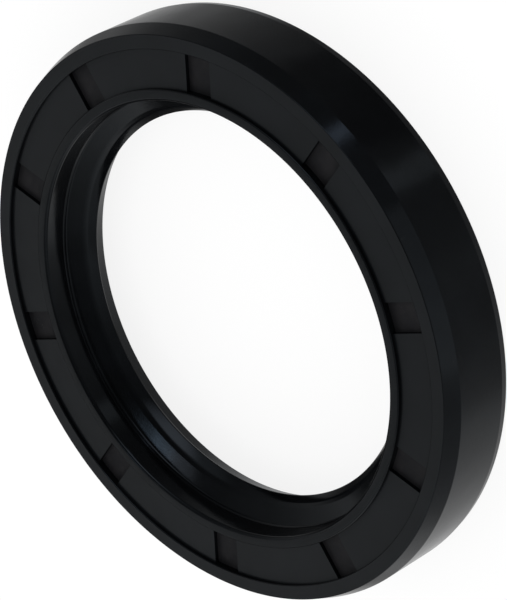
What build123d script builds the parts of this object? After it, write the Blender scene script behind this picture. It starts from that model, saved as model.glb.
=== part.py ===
"""Radial shaft seal for a 48 mm shaft in a 70 mm housing bore, 10 mm wide.

A pressed steel case is moulded into a nitrile rubber body with one sealing lip, and a closed
garter spring presses the lip onto the shaft. The seal lies on its oil side with its axis on +Z:
the origin is the middle of the oil side end, and the flat air side face looks up.
Every section is drawn as (radius, height) on the XZ plane and turned about the Z axis.
"""

import os
from math import cos, radians, sin, tan

from build123d import *

os.makedirs("parts", exist_ok=True)

# Nominal size, in millimetres
shaft_diameter = 48.0
outside_diameter = 70.0
width = 10.0

# Outside: a long lead-in at the air side and a short chamfer at the oil side
lead_in_length = 2.0
lead_in_depth = 0.75
end_chamfer_length = 1.0
end_chamfer_depth = 0.2
toe_chamfer = 0.5

# Air side face: two raised rims with a recessed ring between them
outer_rim_width = 1.75
inner_rim_width = 1.4
recess_depth = 0.4
outer_rim_edge_radius = 0.12
inner_rim_edge_radius = 0.3

# Pockets left in the recessed ring by the pins that held the case in the mould
pocket_count = 10
pocket_width = 3.6
pocket_depth = 0.5

# Mouth: the bore between the face and the root of the lip, a little wider above its bead
mouth_clearance = 2.45
mouth_edge_radius = 0.4
mouth_undercut = 0.15
bead_length = 0.45
bead_radius = 0.25

# Sealing lip
lip_interference = 0.9
lip_drop = 3.65
contact_band = 0.3
air_side_angle = 35.0
oil_side_angle = 45.0
oil_side_trim = 0.35
throat_radius = 1.5
nose_length = 2.2
nose_setback = 1.05
nose_taper = 0.55
nose_radius = 0.4

# Flexing web that joins the lip to the case
web_angle = 22.0
web_thickness = 1.0
web_over_groove = 0.85
heel_run = 1.0
heel_radius = 1.0
cavity_corner_radius = 0.8

# Garter spring, and the groove behind the lip that hooks around it
spring_diameter = 1.8
spring_clearance = 0.05
spring_offset = 0.05
groove_wall = 1.4
groove_wrap = 40.0

# Steel case: a flange under the face and a cylinder behind the outside cover
sheet_thickness = 1.0
inner_bend_radius = 0.4
flange_lap = 0.25
outer_cover = 1.0
inner_cover = 0.6
end_cover = 0.9
flange_cover = 0.6

# Radii from the housing inwards
outside_radius = outside_diameter / 2
face_radius = outside_radius - lead_in_depth
recess_outer_radius = face_radius - outer_rim_width
case_radius = outside_radius - outer_cover
case_inner_radius = case_radius - sheet_thickness
cavity_radius = case_inner_radius - inner_cover

# Radii from the shaft outwards
lip_radius = (shaft_diameter - lip_interference) / 2
mouth_radius = shaft_diameter / 2 + mouth_clearance
recess_inner_radius = mouth_radius + inner_rim_width
flange_inner_radius = recess_inner_radius - flange_lap
groove_radius = spring_diameter / 2 + spring_clearance
spring_radius = lip_radius + groove_wall + groove_radius
head_radius = spring_radius + groove_radius * sin(radians(groove_wrap))

# Heights from the face down: the pockets end on the flange, and the lip hangs below it
recess_height = width - recess_depth
flange_top = recess_height - pocket_depth
flange_bottom = flange_top - sheet_thickness
cavity_height = flange_bottom - flange_cover
lip_height = flange_bottom - lip_drop
spring_height = lip_height - spring_offset
nose_height = lip_height - nose_length

# The web leans up from the lip at a steady angle, clear of the groove by its own wall
web_rise = tan(radians(web_angle))
web_cover = (groove_radius + web_over_groove) / cos(radians(web_angle))
web_depth = web_thickness / cos(radians(web_angle))
bead_height = spring_height + web_cover + (mouth_radius - spring_radius) * web_rise
head_height = bead_height + (head_radius - mouth_radius) * web_rise - web_depth
heel_height = bead_height + (flange_inner_radius - mouth_radius) * web_rise - web_depth

# Behind the web the cavity's roof runs flat, and its rounded corners share that run
heel_top_radius = flange_inner_radius + heel_run
roof_run = cavity_radius - heel_top_radius
heel_rounding = min(heel_radius, roof_run)
cavity_rounding = min(cavity_corner_radius, roof_run / 2)

# Sealing edge: a narrow band between the air side cone and the trimmed oil side
band_top = lip_height + contact_band / 2
band_bottom = lip_height - contact_band / 2
air_side_run = tan(radians(air_side_angle))
trim_radius = lip_radius + oil_side_trim
trim_height = band_bottom - oil_side_trim / tan(radians(oil_side_angle))

# The throat is the corner where the air side cone runs into the web
throat_rise = bead_height - band_top - (mouth_radius - lip_radius) * web_rise
throat_height = band_top + throat_rise / (1 - air_side_run * web_rise)
throat_corner_radius = lip_radius + (throat_height - band_top) * air_side_run

with BuildPart() as steel_case:
    with BuildSketch(Plane.XZ) as case_section:
        inner_bend = (case_inner_radius, flange_bottom)
        outer_bend = (case_radius, flange_top)
        with BuildLine():
            Polyline(
                (flange_inner_radius, flange_top),
                outer_bend,
                (case_radius, end_cover),
                (case_inner_radius, end_cover),
                inner_bend,
                (flange_inner_radius, flange_bottom),
                close=True,
            )
        make_face()
        fillet(case_section.vertices().sort_by_distance(inner_bend)[0], inner_bend_radius)
        fillet(
            case_section.vertices().sort_by_distance(outer_bend)[0],
            inner_bend_radius + sheet_thickness,
        )
    revolve(axis=Axis.Z)

with BuildPart() as seal_body:
    with BuildSketch(Plane.XZ) as body_section:
        # Corners that are rounded below
        face_edge = (face_radius, width)
        cavity_corner = (cavity_radius, cavity_height)
        heel_top = (heel_top_radius, cavity_height)
        heel_bottom = (flange_inner_radius, heel_height)
        nose_outer = (head_radius - nose_taper, nose_height)
        nose_inner = (lip_radius + nose_setback, nose_height)
        throat = (throat_corner_radius, throat_height)
        bead_crest = (mouth_radius, bead_height)
        bead_foot = (mouth_radius + mouth_undercut, bead_height + bead_length)
        mouth_edge = (mouth_radius, width)
        inner_rim_edge = (recess_inner_radius, width)
        outer_rim_edge = (recess_outer_radius, width)
        with BuildLine():
            Polyline(
                # Down the outside and across the oil side end
                face_edge,
                (outside_radius, width - lead_in_length),
                (outside_radius, end_chamfer_length),
                (outside_radius - end_chamfer_depth, 0),
                (cavity_radius + toe_chamfer, 0),
                (cavity_radius, toe_chamfer),
                # Round the cavity and down the back of the lip
                cavity_corner,
                heel_top,
                heel_bottom,
                (head_radius, head_height),
                (head_radius, spring_height - groove_radius),
                nose_outer,
                nose_inner,
                # Up the lip, past the sealing edge, to the bead and the mouth
                (trim_radius, trim_height),
                (lip_radius, band_bottom),
                (lip_radius, band_top),
                throat,
                bead_crest,
                bead_foot,
                mouth_edge,
                # Across the face, with the recess between its rims
                inner_rim_edge,
                (recess_inner_radius, recess_height),
                (recess_outer_radius, recess_height),
                outer_rim_edge,
                close=True,
            )
        make_face()
        roundings = (
            (outer_rim_edge_radius, (face_edge, outer_rim_edge)),
            (inner_rim_edge_radius, (inner_rim_edge,)),
            (mouth_edge_radius, (mouth_edge,)),
            (bead_radius, (bead_crest, bead_foot)),
            (throat_radius, (throat,)),
            (nose_radius, (nose_outer, nose_inner)),
            (heel_rounding, (heel_top, heel_bottom)),
            (cavity_rounding, (cavity_corner,)),
        )
        for corner_radius, corners in roundings:
            for corner in corners:
                fillet(body_section.vertices().sort_by_distance(corner)[0], corner_radius)
        with Locations((spring_radius, spring_height)):
            Circle(groove_radius, mode=Mode.SUBTRACT)
    revolve(axis=Axis.Z)

    # Parallel-sided pockets that reach from rim to rim and down to the flange, the first of
    # them half a pitch round from +X
    with BuildSketch(Plane.XY.offset(flange_top)):
        with PolarLocations(outside_radius, pocket_count, start_angle=180 / pocket_count):
            Rectangle(outside_radius, pocket_width)
        Circle(recess_outer_radius, mode=Mode.INTERSECT)
        Circle(recess_inner_radius, mode=Mode.SUBTRACT)
    extrude(amount=pocket_depth, mode=Mode.SUBTRACT)

    # The rubber is bonded to the case, so it takes the case's own surfaces
    add(steel_case.part, mode=Mode.SUBTRACT)

with BuildPart() as garter_spring:
    with BuildSketch(Plane.XZ):
        with Locations((spring_radius, spring_height)):
            Circle(spring_diameter / 2)
    revolve(axis=Axis.Z)

seal_body.part.label = "seal_body"
steel_case.part.label = "steel_case"
garter_spring.part.label = "garter_spring"

export_step(seal_body.part, "parts/seal_body.step")
export_step(steel_case.part, "parts/steel_case.step")
export_step(garter_spring.part, "parts/garter_spring.step")
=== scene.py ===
from math import cos, degrees, pi, radians, sin, tan

import bmesh
import bpy
from mathutils import Matrix, Quaternion, Vector


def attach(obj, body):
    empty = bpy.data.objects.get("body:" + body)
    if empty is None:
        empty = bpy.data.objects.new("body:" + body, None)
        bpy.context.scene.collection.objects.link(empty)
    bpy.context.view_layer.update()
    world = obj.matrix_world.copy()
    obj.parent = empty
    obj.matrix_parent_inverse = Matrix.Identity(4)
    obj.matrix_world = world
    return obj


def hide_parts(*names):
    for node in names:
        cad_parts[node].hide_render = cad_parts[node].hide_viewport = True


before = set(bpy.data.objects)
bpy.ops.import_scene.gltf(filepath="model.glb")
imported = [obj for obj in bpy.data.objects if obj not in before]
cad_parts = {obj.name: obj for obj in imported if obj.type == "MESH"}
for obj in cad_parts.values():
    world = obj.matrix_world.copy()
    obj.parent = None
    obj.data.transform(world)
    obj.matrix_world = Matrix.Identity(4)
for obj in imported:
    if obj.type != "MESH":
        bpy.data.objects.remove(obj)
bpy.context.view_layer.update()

# ---------------------------------------------------------------------------------------------
# Steel case: a ring pressed from 1 mm sheet, a flange turned in from a cylinder. It gives the
# seal its stiffness. It was dipped in a dark coat that the rubber bonds to in the mould, and it
# shows only on the floors of the face's pockets. The CAD solid has its shape.
# ---------------------------------------------------------------------------------------------
mm = 0.001

# Its section in millimetres. The seal's meshes are drawn in them and then scaled to metres.
case_radius = 34.0
case_edge_radius = 27.6
case_top = 9.1
case_end = 0.9
case_sheet = 1.0
case_bend = 0.4

coat_colour = (0.0079, 0.0077, 0.0088, 1)
coat_thin_colour = (0.0113, 0.0105, 0.0115, 1)
coat_dust_colour = (0.03, 0.03, 0.03, 1)
coat_sheen_tint = (0.88, 0.94, 1, 1)
coat_roughness = (0.5, 0.62)
coat_mark_depth = 0.02 * mm

# A Mix node's two inputs and its output, by the kind of data that it mixes
mix_sockets = {"FLOAT": (2, 3, 0), "RGBA": (6, 7, 2)}


def feed(tree, node, inputs):
    """Feeds a node's sockets with values or with other sockets."""
    for socket, value in inputs.items():
        if isinstance(value, bpy.types.NodeSocket):
            tree.links.new(value, node.inputs[socket])
        else:
            node.inputs[socket].default_value = value


def put_node(tree, kind, settings=None, inputs=None):
    """Adds a node with its settings, and feeds its sockets."""
    node = tree.nodes.new(kind)
    for name, value in (settings or {}).items():
        setattr(node, name, value)
    feed(tree, node, inputs or {})
    return node


def maths(tree, operation, *values):
    """Adds a Math node and gives back its output."""
    settings = {"operation": operation}
    return put_node(tree, "ShaderNodeMath", settings, dict(enumerate(values))).outputs["Value"]


def vector_maths(tree, operation, *values):
    """Adds a Vector Math node and gives back its outputs, Vector and Value."""
    settings = {"operation": operation}
    return put_node(tree, "ShaderNodeVectorMath", settings, dict(enumerate(values))).outputs


def ramp(tree, value, start=(0, 1), end=(0, 1), kind="LINEAR"):
    """Takes a value from a first range to a second one, held at its ends."""
    return put_node(tree, "ShaderNodeMapRange", {"interpolation_type": kind}, {
        "Value": value,
        "From Min": start[0],
        "From Max": start[1],
        "To Min": end[0],
        "To Max": end[1],
    }).outputs["Result"]


def mix(tree, kind, share, first, second):
    """Mixes two numbers or two colours by the share of the second."""
    first_socket, second_socket, mixed_socket = mix_sockets[kind]
    return put_node(tree, "ShaderNodeMix", {"data_type": kind}, {
        "Factor": share,
        first_socket: first,
        second_socket: second,
    }).outputs[mixed_socket]


def start_group(name, inputs, output):
    """Starts a node group that has named number inputs and one number output."""
    group = bpy.data.node_groups.new(name, "ShaderNodeTree")
    for socket, value in inputs.items():
        made = group.interface.new_socket(socket, in_out="INPUT", socket_type="NodeSocketFloat")
        made.default_value = value
    group.interface.new_socket(output, in_out="OUTPUT", socket_type="NodeSocketFloat")
    given = group.nodes.new("NodeGroupInput").outputs
    taken = group.nodes.new("NodeGroupOutput")
    return group, given, taken


def place_group(tree, group, inputs):
    """Places a node group in a material and gives back its output."""
    return put_node(tree, "ShaderNodeGroup", {"node_tree": group}, inputs).outputs[0]


def start_material(name):
    """Starts a material and gives it back with its node tree."""
    material = bpy.data.materials.new(name)
    material.use_nodes = True
    return material, material.node_tree


# Cloudy patches, as dried mould release and thin places in a coat leave them
patches, given, taken = start_group(
    "cloudy patches",
    {"Scale": 200, "From": 0.4, "To": 0.6},
    "Mask",
)
place = put_node(patches, "ShaderNodeTexCoord").outputs["Object"]
clouds = put_node(patches, "ShaderNodeTexNoise", inputs={
    "Vector": place,
    "Scale": given["Scale"],
    "Detail": 4,
    "Roughness": 0.6,
})
patch_range = (given["From"], given["To"])
patch = ramp(patches, clouds.outputs["Fac"], patch_range, kind="SMOOTHSTEP")
feed(patches, taken, {"Mask": patch})

# Rings about the axis: the tool's turning marks in the mould, and the press's in the steel.
# They are counted by radius plus a share of the height, so walls and cones show them too.
ring_height_share = 1.37
turning, given, taken = start_group("turning marks", {"Rings per Metre": 4000}, "Height")
place = put_node(turning, "ShaderNodeTexCoord").outputs["Object"]
parts = put_node(turning, "ShaderNodeSeparateXYZ", inputs={"Vector": place}).outputs
flat_place = put_node(turning, "ShaderNodeCombineXYZ", inputs={"X": parts["X"], "Y": parts["Y"]})
around = vector_maths(turning, "NORMALIZE", flat_place.outputs["Vector"])["Vector"]
radius = vector_maths(turning, "LENGTH", flat_place.outputs["Vector"])["Value"]
across = maths(turning, "MULTIPLY_ADD", parts["Z"], ring_height_share, radius)
marks = put_node(turning, "ShaderNodeTexNoise", {"noise_dimensions": "4D"}, {
    "Vector": around,
    "W": maths(turning, "MULTIPLY", across, given["Rings per Metre"]),
    "Scale": 1,
    "Detail": 2,
})
feed(turning, taken, {"Height": marks.outputs["Fac"]})

# Dust: small specks, larger in some places than in others
dust_drift = (0.45, 0.75)
speck_edge = (0, 0.05)
dust, given, taken = start_group("dust specks", {"Specks per Metre": 2500, "Size": 0.12}, "Mask")
place = put_node(dust, "ShaderNodeTexCoord").outputs["Object"]
cells = put_node(dust, "ShaderNodeTexVoronoi", inputs={
    "Vector": place,
    "Scale": given["Specks per Metre"],
})
drift = put_node(dust, "ShaderNodeTexNoise", inputs={"Vector": place, "Scale": 330, "Detail": 3})
reach = ramp(dust, drift.outputs["Fac"], dust_drift, (0, given["Size"]))
depth_in_speck = maths(dust, "SUBTRACT", reach, cells.outputs["Distance"])
feed(dust, taken, {"Mask": ramp(dust, depth_in_speck, speck_edge)})

# The coat's material, which the CAD solid takes in each of its slots
coat, coat_tree = start_material("dark bonding coat")
coat_patches = place_group(coat_tree, patches, {"Scale": 420, "From": 0.38, "To": 0.66})
coat_sheen = place_group(coat_tree, patches, {"Scale": 1300, "From": 0.3, "To": 0.7})
coat_marks = place_group(coat_tree, turning, {"Rings per Metre": 9000})
coat_specks = place_group(coat_tree, dust, {"Specks per Metre": 3800, "Size": 0.3})
coat_mixed = mix(coat_tree, "RGBA", coat_patches, coat_colour, coat_thin_colour)
coat_bump = put_node(coat_tree, "ShaderNodeBump", inputs={
    "Height": coat_marks,
    "Strength": 0.35,
    "Distance": coat_mark_depth,
})
feed(coat_tree, coat_tree.nodes["Principled BSDF"], {
    "Base Color": mix(coat_tree, "RGBA", coat_specks, coat_mixed, coat_dust_colour),
    "Roughness": ramp(coat_tree, coat_sheen, end=coat_roughness),
    "Specular IOR Level": 0.12,
    "Specular Tint": coat_sheen_tint,
    "Normal": coat_bump.outputs["Normal"],
})
for slot in bpy.data.objects["steel_case"].material_slots:
    slot.material = coat

# ---------------------------------------------------------------------------------------------
# Rubber body: one moulding of black nitrile rubber, pressed hot around the steel case. Its
# section holds the outside that grips the housing, the face with its two rims, and the lip.
# It is drawn in millimetres, turned through one pocket's share of the ring, and repeated.
# ---------------------------------------------------------------------------------------------
# Outside and face
width = 10.0
outside_radius = 35.0
face_radius = 34.25
end_radius = 34.8
lead_in_height = 8.0
end_chamfer_height = 1.0
recess_outer_radius = 32.5
recess_inner_radius = 27.85
recess_height = 9.6

# Mouth and lip, from the face down to the nose
mouth_radius = 26.45
mouth_undercut = 0.15
bead_height = 6.5636
bead_length = 0.45
throat_radius = 24.3232
throat_height = 5.7043
lip_radius = 23.55
lip_height = 4.45
contact_band = 0.12
lip_trim = 0.35
nose_height = 2.25
nose_inner_radius = 24.6
nose_outer_radius = 25.9606

# Back of the lip, with the groove that hooks round the garter spring
spring_radius = 25.9
spring_height = 4.4
groove_radius = 0.95
groove_wrap = radians(40)
groove_steps = 18
head_radius = spring_radius + groove_radius * sin(groove_wrap)
head_height = 5.5095
heel_height = 5.9497
heel_run = 1.0
cavity_radius = 32.4
cavity_height = 7.5
toe_chamfer = 0.5

# Roundings of the section's corners
sharp = 0
rim_rounding = 0.12
inner_rim_rounding = 0.15
lead_in_rounding = 0.3
end_chamfer_rounding = 0.2
end_rounding = 0.1
cavity_rounding = 0.8
heel_rounding = 1.0
head_top_rounding = 0.12
head_bottom_rounding = 0.1
groove_edge_rounding = 0.06
nose_rounding = 0.4
trim_rounding = 0.3
band_rounding = 0.08
throat_rounding = 1.5
bead_rounding = 0.25
mouth_rounding = 0.4

# Pockets, and how finely the ring and its corners are divided. The chords of a rim run a
# little inside its circle, and vertices nearer than the weld are joined.
pocket_count = 10
pocket_width = 3.6
pitch = 2 * pi / pocket_count
steps_in_pitch = 36
corner_step = radians(12)
fewest_corner_steps = 2
chord_slack = 0.01
weld = 1e-4

rubber_colour = (0.0014, 0.0015, 0.0018, 1)
rubber_bloom_colour = (0.0024, 0.0027, 0.0033, 1)
rubber_dust_colour = (0.03, 0.03, 0.03, 1)
rubber_sheen_tint = (0.8, 0.91, 1, 1)
rubber_roughness = (0.09, 0.15)
face_roughness = (0.28, 0.36)
face_upwardness = (0.95, 0.995)
mould_mark_share = 0.5
rubber_wave_depth = 0.06 * mm
rubber_grain_depth = 0.01 * mm


def turned_outline(mesh, corners):
    """Rounds a closed outline of (radius, height, rounding) corners and turns it one pitch."""
    verts = [mesh.verts.new((radius, 0, height)) for radius, height, _ in corners]
    for pair in zip(verts, verts[1:] + verts[:1]):
        mesh.edges.new(pair)
    places = [vert.co.copy() for vert in verts]
    for index, (_, _, rounding) in enumerate(corners):
        if rounding:
            before = places[index - 1] - places[index]
            after = places[(index + 1) % len(places)] - places[index]
            opening = before.angle(after)
            bmesh.ops.bevel(
                mesh,
                geom=[verts[index]],
                offset=rounding / tan(opening / 2),
                offset_type="OFFSET",
                affect="VERTICES",
                segments=max(fewest_corner_steps, round((pi - opening) / corner_step)),
                profile=0.5,
                material=-1,
            )
    loose = [edge for edge in mesh.edges if not edge.link_faces]
    ends = list({vert for edge in loose for vert in edge.verts})
    bmesh.ops.rotate(mesh, verts=ends, cent=(0, 0, 0), matrix=Matrix.Rotation(-pitch / 2, 3, "Z"))
    bmesh.ops.spin(
        mesh,
        geom=ends + loose,
        cent=(0, 0, 0),
        axis=(0, 0, 1),
        angle=pitch,
        steps=steps_in_pitch,
        use_merge=False,
    )


def lies_on_ring(face, height):
    """True for a flat face at that height, between the two rims of the recess."""
    radii = [vert.co.xy.length for vert in face.verts]
    level = all(abs(vert.co.z - height) < weld for vert in face.verts)
    inside = max(radii) < recess_outer_radius + chord_slack
    return level and inside and min(radii) > recess_inner_radius - chord_slack


def pocket_faces(mesh, height):
    """Cuts the pocket's straight sides into the flat ring at one height and picks its floor."""
    for side in (-1, 1):
        ring = [face for face in mesh.faces if lies_on_ring(face, height)]
        around = {edge for face in ring for edge in face.edges}
        ends = {vert for face in ring for vert in face.verts}
        bmesh.ops.bisect_plane(
            mesh,
            geom=ring + list(around) + list(ends),
            dist=weld,
            plane_co=(0, side * pocket_width / 2, 0),
            plane_no=(0, 1, 0),
        )
    ring = [face for face in mesh.faces if lies_on_ring(face, height)]
    return [face for face in ring if abs(face.calc_center_median().y) < pocket_width / 2]


def finished_piece(name, mesh, material, sharp_angle=radians(35)):
    """Makes an object of a bmesh, smooth but for open edges and those past the sharp angle."""
    for face in mesh.faces:
        face.smooth = True
    for edge in mesh.edges:
        edge.smooth = edge.is_manifold and edge.calc_face_angle() < sharp_angle
    data = bpy.data.meshes.new(name)
    mesh.to_mesh(data)
    mesh.free()
    data.materials.append(material)
    piece = bpy.data.objects.new(name, data)
    bpy.context.scene.collection.objects.link(piece)
    return piece


# The groove hooks round the spring: all of its circle but the mouth behind the lip's head
groove_turn = pi + 2 * groove_wrap
groove = []
for step in range(groove_steps + 1):
    angle = groove_wrap - groove_turn * step / groove_steps
    groove.append((
        spring_radius + groove_radius * sin(angle),
        spring_height + groove_radius * cos(angle),
        groove_edge_rounding if step in (0, groove_steps) else sharp,
    ))

body_mesh = bmesh.new()
turned_outline(body_mesh, [
    # Down the outside and across the oil side end
    (face_radius, width, rim_rounding),
    (outside_radius, lead_in_height, lead_in_rounding),
    (outside_radius, end_chamfer_height, end_chamfer_rounding),
    (end_radius, 0, end_rounding),
    (cavity_radius + toe_chamfer, 0, end_rounding),
    (cavity_radius, toe_chamfer, end_rounding),
    # Round the cavity and down the back of the lip
    (cavity_radius, cavity_height, cavity_rounding),
    (case_edge_radius + heel_run, cavity_height, heel_rounding),
    (case_edge_radius, heel_height, heel_rounding),
    (head_radius, head_height, head_top_rounding),
    *groove,
    (head_radius, spring_height - groove_radius, head_bottom_rounding),
    (nose_outer_radius, nose_height, nose_rounding),
    (nose_inner_radius, nose_height, nose_rounding),
    # Up the lip, past the sealing edge, to the bead and the mouth
    (lip_radius + lip_trim, lip_height - contact_band / 2 - lip_trim, trim_rounding),
    (lip_radius, lip_height - contact_band / 2, band_rounding),
    (lip_radius, lip_height + contact_band / 2, band_rounding),
    (throat_radius, throat_height, throat_rounding),
    (mouth_radius, bead_height, bead_rounding),
    (mouth_radius + mouth_undercut, bead_height + bead_length, bead_rounding),
    (mouth_radius, width, mouth_rounding),
    # Across the face, with the recess between its rims
    (recess_inner_radius, width, inner_rim_rounding),
    (recess_inner_radius, recess_height, sharp),
    (recess_outer_radius, recess_height, sharp),
    (recess_outer_radius, width, rim_rounding),
])

# The hollow that the case fills, with the corners that the pockets open cut into it
turned_outline(body_mesh, [
    (case_edge_radius, case_top, sharp),
    (recess_inner_radius, case_top, sharp),
    (recess_outer_radius, case_top, sharp),
    (case_radius, case_top, case_bend + case_sheet),
    (case_radius, case_end, sharp),
    (case_radius - case_sheet, case_end, sharp),
    (case_radius - case_sheet, case_top - case_sheet, case_bend),
    (case_edge_radius, case_top - case_sheet, sharp),
])

# One pocket: its floor sinks to the case, and opens there onto the hollow
floor = pocket_faces(body_mesh, recess_height)
sunk = bmesh.ops.extrude_face_region(body_mesh, geom=floor)["geom"]
sunk_verts = [item for item in sunk if isinstance(item, bmesh.types.BMVert)]
sunk_floor = [item for item in sunk if isinstance(item, bmesh.types.BMFace)]
bmesh.ops.translate(body_mesh, verts=sunk_verts, vec=(0, 0, case_top - recess_height))
bmesh.ops.delete(body_mesh, geom=floor + sunk_floor, context="FACES")
window = pocket_faces(body_mesh, case_top)
bmesh.ops.delete(body_mesh, geom=window, context="FACES")
bmesh.ops.remove_doubles(body_mesh, verts=body_mesh.verts, dist=weld)

# The whole ring, with +X midway between two pockets
bmesh.ops.spin(
    body_mesh,
    geom=body_mesh.verts[:] + body_mesh.edges[:] + body_mesh.faces[:],
    cent=(0, 0, 0),
    axis=(0, 0, 1),
    angle=2 * pi - pitch,
    steps=pocket_count - 1,
    use_duplicate=True,
)
bmesh.ops.remove_doubles(body_mesh, verts=body_mesh.verts, dist=weld)
bmesh.ops.rotate(
    body_mesh,
    verts=body_mesh.verts,
    cent=(0, 0, 0),
    matrix=Matrix.Rotation(pitch / 2, 3, "Z"),
)
bmesh.ops.scale(body_mesh, verts=body_mesh.verts, vec=(mm, mm, mm))
bmesh.ops.recalc_face_normals(body_mesh, faces=body_mesh.faces)

# Black rubber with a faint bloom and dust on it. Its walls and lip are glossy, and the flats of
# the face, told from them by a normal that points straight up, are duller.
rubber, rubber_tree = start_material("black nitrile rubber")
bloom = place_group(rubber_tree, patches, {"Scale": 150, "From": 0.35, "To": 0.7})
sheen = place_group(rubber_tree, patches, {"Scale": 520, "From": 0.25, "To": 0.75})
mould_marks = place_group(rubber_tree, turning, {"Rings per Metre": 5200})
specks = place_group(rubber_tree, dust, {"Specks per Metre": 3000, "Size": 0.14})
rubber_coords = put_node(rubber_tree, "ShaderNodeTexCoord").outputs
grain = put_node(rubber_tree, "ShaderNodeTexNoise", inputs={
    "Vector": rubber_coords["Object"],
    "Scale": 5200,
    "Detail": 3,
})
waves = put_node(rubber_tree, "ShaderNodeTexNoise", inputs={
    "Vector": rubber_coords["Object"],
    "Scale": 150,
    "Detail": 1,
})
normal = put_node(rubber_tree, "ShaderNodeSeparateXYZ", inputs={"Vector": rubber_coords["Normal"]})
rubber_mixed = mix(rubber_tree, "RGBA", bloom, rubber_colour, rubber_bloom_colour)
rubber_rough = mix(
    rubber_tree,
    "FLOAT",
    ramp(rubber_tree, normal.outputs["Z"], face_upwardness),
    ramp(rubber_tree, sheen, end=rubber_roughness),
    ramp(rubber_tree, sheen, end=face_roughness),
)
relief = maths(
    rubber_tree,
    "MULTIPLY_ADD",
    mould_marks,
    mould_mark_share,
    grain.outputs["Fac"],
)
rubber_waves = put_node(rubber_tree, "ShaderNodeBump", inputs={
    "Height": waves.outputs["Fac"],
    "Strength": 1,
    "Distance": rubber_wave_depth,
})
rubber_bump = put_node(rubber_tree, "ShaderNodeBump", inputs={
    "Height": relief,
    "Strength": 0.4,
    "Distance": rubber_grain_depth,
    "Normal": rubber_waves.outputs["Normal"],
})
feed(rubber_tree, rubber_tree.nodes["Principled BSDF"], {
    "Base Color": mix(rubber_tree, "RGBA", specks, rubber_mixed, rubber_dust_colour),
    "Roughness": rubber_rough,
    "Specular IOR Level": 0.25,
    "Specular Tint": rubber_sheen_tint,
    "Normal": rubber_bump.outputs["Normal"],
})

# The flats and cones keep their own normals, so that the roundings don't bend their gloss
body = finished_piece("rubber_body", body_mesh, rubber)
flat_shading = body.modifiers.new("flats keep their own normals", "WEIGHTED_NORMAL")
flat_shading.keep_sharp = True
flat_shading.weight = 100
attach(body, "root")
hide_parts("seal_body")

# ---------------------------------------------------------------------------------------------
# Garter spring: steel wire wound into a close coil, and the coil joined end to end into a
# ring. It sits in the groove behind the lip and keeps the lip pressed on the shaft.
# ---------------------------------------------------------------------------------------------
coil_diameter = 1.8
wire_diameter = 0.38
coil_turns = 400
coil_weld = 0.01
wire_sides = 6
steps_in_turn = 12
turn_length = 2 * pi * spring_radius / coil_turns
coil_height = (coil_diameter - wire_diameter) / 2

wire_colour = (0.42, 0.42, 0.41, 1)
wire_stain_colour = (0.27, 0.25, 0.22, 1)
wire_roughness = (0.28, 0.42)
wire_sharp_angle = radians(80)

# One turn of the wire, and then the ring of turns
coil_mesh = bmesh.new()
wire_end = bmesh.ops.create_circle(
    coil_mesh,
    cap_ends=False,
    segments=wire_sides,
    radius=wire_diameter / 2,
    matrix=Matrix.Translation((0, 0, coil_height)) @ Matrix.Rotation(pi / 2, 4, "Y"),
)["verts"]
wire_ring = list({edge for vert in wire_end for edge in vert.link_edges})
bmesh.ops.spin(
    coil_mesh,
    geom=wire_end + wire_ring,
    cent=(0, 0, 0),
    axis=(0, 1, 0),
    dvec=(0, turn_length / steps_in_turn, 0),
    angle=2 * pi,
    steps=steps_in_turn,
    use_merge=False,
)
bmesh.ops.translate(coil_mesh, verts=coil_mesh.verts, vec=(spring_radius, 0, spring_height))
bmesh.ops.spin(
    coil_mesh,
    geom=coil_mesh.verts[:] + coil_mesh.edges[:] + coil_mesh.faces[:],
    cent=(0, 0, 0),
    axis=(0, 0, 1),
    angle=2 * pi * (coil_turns - 1) / coil_turns,
    steps=coil_turns - 1,
    use_duplicate=True,
)
bmesh.ops.remove_doubles(coil_mesh, verts=coil_mesh.verts, dist=coil_weld)
bmesh.ops.scale(coil_mesh, verts=coil_mesh.verts, vec=(mm, mm, mm))
bmesh.ops.recalc_face_normals(coil_mesh, faces=coil_mesh.faces)

wire, wire_tree = start_material("drawn spring wire")
wire_stain = place_group(wire_tree, patches, {"Scale": 700, "From": 0.45, "To": 0.7})
wire_sheen = place_group(wire_tree, patches, {"Scale": 2600, "From": 0.3, "To": 0.7})
feed(wire_tree, wire_tree.nodes["Principled BSDF"], {
    "Base Color": mix(wire_tree, "RGBA", wire_stain, wire_colour, wire_stain_colour),
    "Metallic": 1,
    "Roughness": ramp(wire_tree, wire_sheen, end=wire_roughness),
})

coil = finished_piece("garter_coil", coil_mesh, wire, wire_sharp_angle)
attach(coil, "root")
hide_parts("garter_spring")

# ---------------------------------------------------------------------------------------------
# Studio: a white table in a white tent, lit softly from all round and more from behind the seal.
# The camera sees plain white. Gloss sees the tent with dark places and soft lamps drawn in by
# direction, because black rubber would look grey in a tent that is white all round.
# ---------------------------------------------------------------------------------------------
# The table's half width is in metres, far past the camera's view
white = (1, 1, 1, 1)
table_half_width = 3
table_white = (0.97, 0.97, 0.97, 1)
table_roughness = 0.9
table_glow = 0.86

table_paint, table_tree = start_material("white table")
table_shader = table_tree.nodes["Principled BSDF"]
feed(table_tree, table_shader, {
    "Base Color": table_white,
    "Roughness": table_roughness,
    "Specular IOR Level": 0,
})
table_light = put_node(table_tree, "ShaderNodeEmission", inputs={"Color": white})
table_ray = put_node(table_tree, "ShaderNodeLightPath").outputs
table_look = put_node(table_tree, "ShaderNodeMixShader", inputs={
    "Fac": maths(table_tree, "MULTIPLY", table_ray["Is Camera Ray"], table_glow),
    1: table_shader.outputs["BSDF"],
    2: table_light.outputs["Emission"],
})
feed(table_tree, table_tree.nodes["Material Output"], {"Surface": table_look.outputs["Shader"]})

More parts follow.
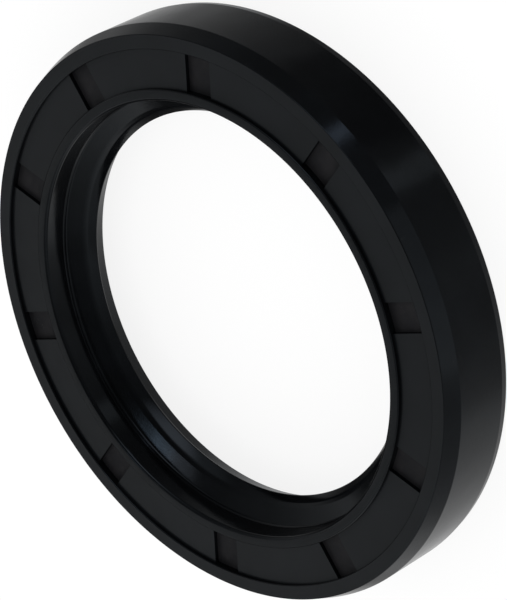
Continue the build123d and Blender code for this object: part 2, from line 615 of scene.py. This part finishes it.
# Gloss doesn't see the table, so it sees the tent below the horizon too
table_mesh = bmesh.new()
bmesh.ops.create_grid(table_mesh, x_segments=1, y_segments=1, size=table_half_width)
table_top = finished_piece("table", table_mesh, table_paint)
table_top.visible_glossy = False
table_top.visible_transmission = False

# The broad light of the tent, from its dim side to its bright one, dimmer again overhead
bright_azimuth = 222
side_span = (-1, 1.1)
side_light = (0.11, 0.72)
fade_span = (0.45, 1)
fade_light = (1, 0.14)
fill_gain = 2.9
fill_floor = 0.5

tent = bpy.data.worlds.new("white tent")
bpy.context.scene.world = tent
tent.use_nodes = True
tent_tree = tent.node_tree
facing = put_node(tent_tree, "ShaderNodeTexCoord").outputs["Generated"]
tent_height = put_node(tent_tree, "ShaderNodeSeparateXYZ", inputs={"Vector": facing}).outputs["Z"]


def look_way(azimuth, elevation):
    """The unit vector from the seal towards an azimuth and an elevation, in degrees."""
    turn, rise = radians(azimuth), radians(elevation)
    return Vector((cos(turn) * cos(rise), sin(turn) * cos(rise), sin(rise)))


def towards(way):
    """How near each place of the tent is to a way: the cosine of the angle between them."""
    return vector_maths(tent_tree, "DOT_PRODUCT", facing, way)["Value"]


def soft_edge(value, span):
    """Goes smoothly from 0 to 1 while the value goes through the span."""
    return ramp(tent_tree, value, span, kind="SMOOTHSTEP")


def soft_band(azimuth, sides, top, bottom):
    """A level band of the tent round an azimuth, with a span for each of its soft edges."""
    under_top = soft_edge(tent_height, top)
    level = maths(tent_tree, "MULTIPLY", under_top, soft_edge(tent_height, bottom))
    return maths(tent_tree, "MULTIPLY", level, soft_edge(towards(look_way(azimuth, 0)), sides))


def soft_spot(way, inner, outer):
    """A round spot of the tent: 1 within the inner angle of a way, 0 beyond the outer."""
    return soft_edge(towards(way), (cos(radians(outer)), cos(radians(inner))))


def soft_strip(first, last, inner, outer):
    """A straight strip of the tent between two ways: 1 within the inner angle of its middle."""
    off_line = maths(tent_tree, "ABSOLUTE", towards(first.cross(last).normalized()))
    reach = degrees(first.angle(last)) / 2
    length = soft_spot((first + last).normalized(), reach, reach + outer - inner)
    breadth = soft_edge(off_line, (sin(radians(outer)), sin(radians(inner))))
    return maths(tent_tree, "MULTIPLY", length, breadth)


bright_side = towards(look_way(bright_azimuth, 0))
side_glow = ramp(tent_tree, bright_side, side_span, side_light, "SMOOTHSTEP")
fade = ramp(tent_tree, tent_height, fade_span, fade_light)
broad_light = maths(tent_tree, "MULTIPLY", side_glow, fade)

# The dark places, each with how much of the broad light it takes away: a gap along the horizon
# behind the seal, a band above the tent's foot, the foot itself, and strips between them
shades = (
    (soft_band(180, sides=(0.59, 0.83), top=(0.427, 0.413), bottom=(-0.6, -0.45)), 0.95),
    (soft_band(60, sides=(0.05, 0.3), top=(-0.72, -0.75), bottom=(-0.87, -0.82)), 0.6),
    (soft_edge(tent_height, (-0.66, -0.74)), 0.14),
    (soft_strip(look_way(180, -38), look_way(180, -78), inner=4, outer=10), 0.85),
    (soft_strip(look_way(250, -4), look_way(295, 6), inner=14, outer=26), 0.38),
    (soft_strip(look_way(290, -42), look_way(318, -43), inner=8, outer=20), 0.35),
    (soft_strip(look_way(32, -43), look_way(72, -43), inner=6, outer=12), 0.45),
    (soft_strip(look_way(136, -40), look_way(156, -40), inner=4, outer=12), 0.27),
)
tent_seen = broad_light
for mask, depth in shades:
    light_left = maths(tent_tree, "MULTIPLY_ADD", mask, -depth, 1)
    tent_seen = maths(tent_tree, "MULTIPLY", tent_seen, light_left)

# The soft lamps, each with its strength and tint: two small ones high up, two wide ones and a
# narrow strip at one side, and faint ones near the horizon and the tent's foot
lamps = (
    (soft_spot(look_way(134, 73), inner=1, outer=4.6), 3.0, (0.66, 0.82, 1)),
    (soft_spot(look_way(131, 68), inner=1, outer=4.8), 1.3, (0.91, 0.92, 1)),
    (soft_spot(look_way(42, 28), inner=2, outer=21), 1.2, (0.9, 0.92, 1)),
    (soft_spot(look_way(56, 25), inner=4, outer=30), 0.35, (0.9, 0.95, 1)),
    (soft_strip(look_way(34.5, -14), look_way(34.5, 6), inner=1, outer=3.6), 1.5, (0.72, 0.82, 1)),
    (soft_strip(look_way(310, -3), look_way(362, -2), inner=4, outer=8), 0.3, (0.95, 0.97, 1)),
    (soft_strip(look_way(15, -30), look_way(15, -56), inner=2.5, outer=5), 0.3, (0.93, 0.97, 1)),
    (soft_spot(look_way(150, -58), inner=3, outer=21), 0.26, (0.95, 0.97, 1)),
)
for mask, strength, tint in lamps:
    lamp_light = Vector(tint) * strength
    tent_seen = vector_maths(tent_tree, "MULTIPLY_ADD", mask, lamp_light, tent_seen)["Vector"]

# The camera sees white, gloss sees the tent as drawn, and all else gets a fill of broad light
tent_ray = put_node(tent_tree, "ShaderNodeLightPath").outputs
gloss_ray = maths(tent_tree, "MAXIMUM", tent_ray["Is Glossy Ray"], tent_ray["Is Transmission Ray"])
fill_light = maths(tent_tree, "MULTIPLY_ADD", broad_light, fill_gain, fill_floor)
tent_lit = mix(tent_tree, "RGBA", gloss_ray, fill_light, tent_seen)
tent_look = mix(tent_tree, "RGBA", tent_ray["Is Camera Ray"], tent_lit, white)
feed(tent_tree, tent_tree.nodes["Background"], {"Color": tent_look})

# ---------------------------------------------------------------------------------------------
# Camera: a long lens that looks down on the lying seal. It is turned about its own line of
# sight, so that the seal seems to stand on its edge.
# ---------------------------------------------------------------------------------------------
# Places in metres, angles in degrees, lens and sensor in millimetres
camera_target = Vector((0.0027453, 0.0000063, 0.005))
camera_distance = 0.374898
camera_azimuth = -0.192
camera_elevation = 40.274
camera_roll = 118.0201
camera_lens = 198.103
camera_sensor = 36
camera_clip = 0.01

camera_outward = look_way(camera_azimuth, camera_elevation)
camera_data = bpy.data.cameras.new("camera")
camera_data.lens = camera_lens
camera_data.sensor_width = camera_sensor
camera_data.clip_start = camera_clip
camera = bpy.data.objects.new("camera", camera_data)
camera.location = camera_target + camera_outward * camera_distance
camera.rotation_mode = "QUATERNION"
camera_turn = Quaternion((0, 0, 1), -radians(camera_roll))
camera.rotation_quaternion = camera_outward.to_track_quat("Z", "Y") @ camera_turn
bpy.context.scene.collection.objects.link(camera)
bpy.context.scene.camera = camera
bpy.context.scene.view_settings.view_transform = "Standard"
